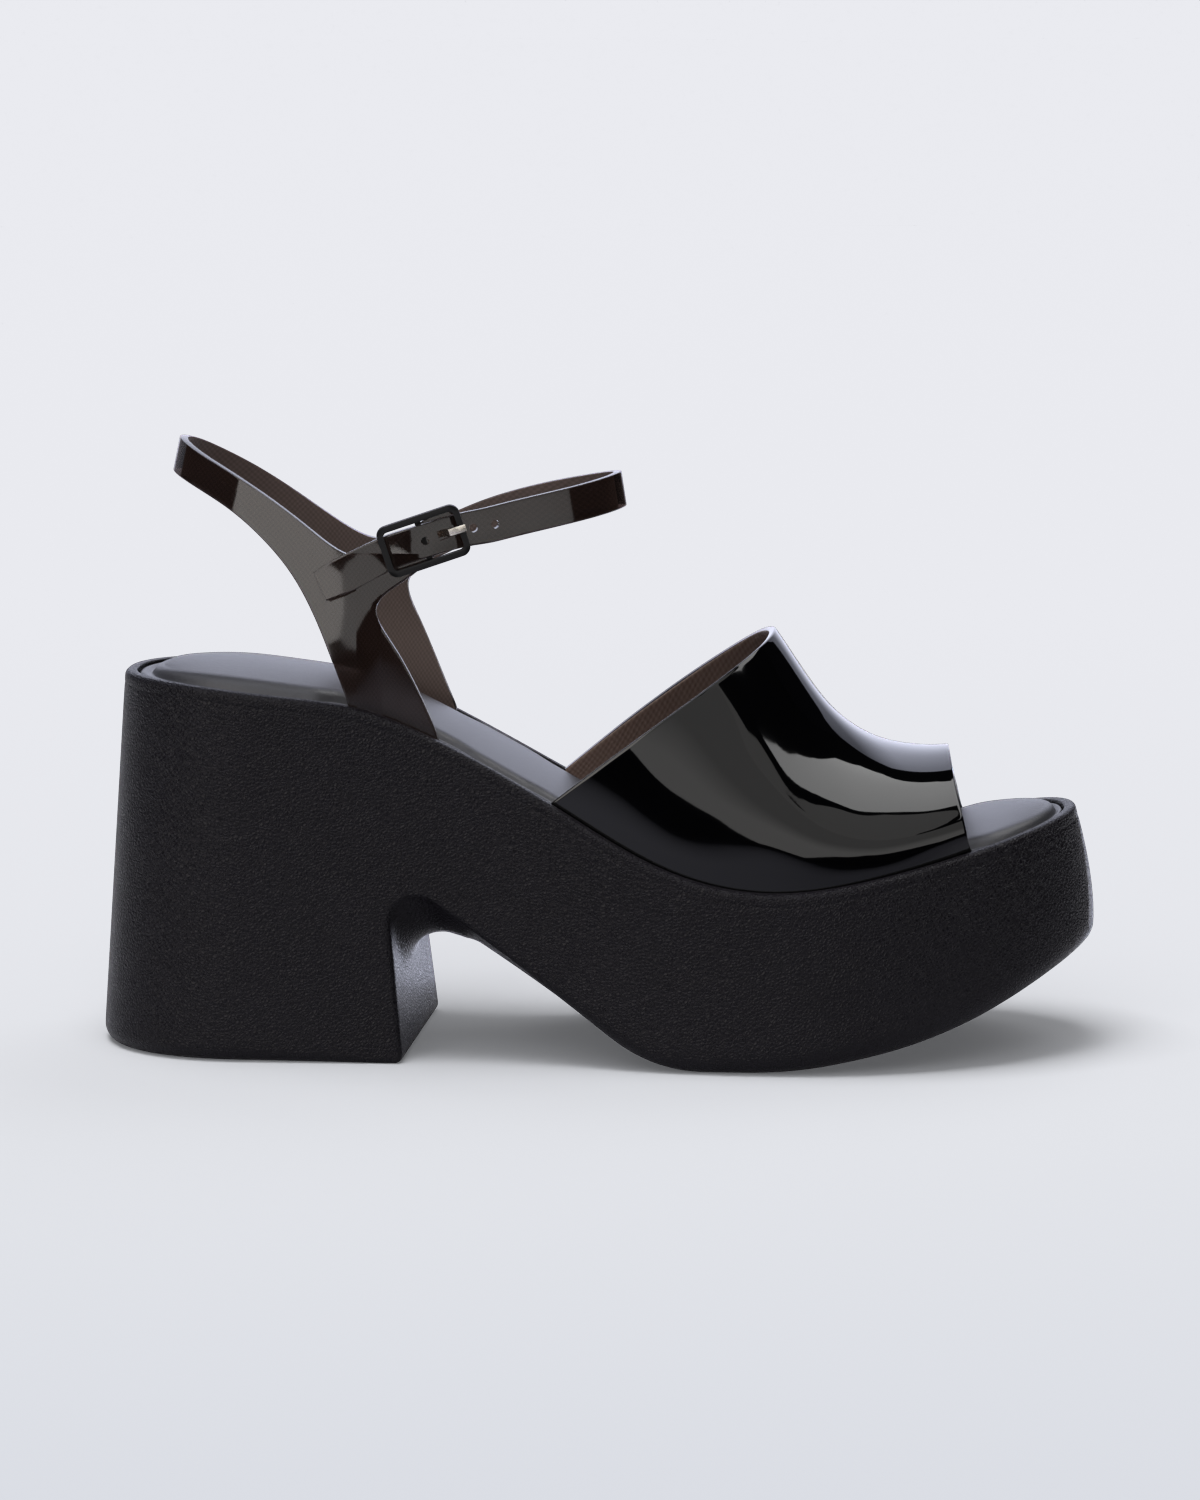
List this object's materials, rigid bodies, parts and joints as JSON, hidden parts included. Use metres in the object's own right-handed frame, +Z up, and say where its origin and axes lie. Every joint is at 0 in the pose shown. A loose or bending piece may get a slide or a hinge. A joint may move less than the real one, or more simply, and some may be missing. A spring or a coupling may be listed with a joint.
{
  "type": "platform heel",
  "caption": "Open-toe platform sandal on a block heel: moulded sole with an arch gap, padded footbed, broad glossy toe band and a buckled ankle sling.",
  "frame": {"origin": "middle of the shoe's footprint, on the floor that heel and ball stand on", "axes": "+X from heel to toe, -Y to the outer side with the buckle, +Z up"},
  "size_m": [0.2467, 0.0889, 0.1496],
  "materials": {
    "pebbled_foam": "moulded foam with a fine leather-like pebble grain, soft sheen",
    "padded_lining": "matt charcoal padded footbed with a fine grain",
    "gloss_black_plastic": "mirror-gloss black moulded plastic with a smoky brown inside",
    "smoky_plastic": "glossy smoky brown-grey moulded plastic with a fine woven-look inside",
    "matt_black_metal": "matt black coating",
    "pale_metal": "pale satin metal"
  },
  "bodies": {
    "root": {"platform_sole": "pebbled_foam", "footbed": "padded_lining", "vamp_band": "gloss_black_plastic", "ankle_sling": "smoky_plastic", "buckle_frame": "matt_black_metal", "buckle_prong": "pale_metal"}
  },
  "joints": []
}
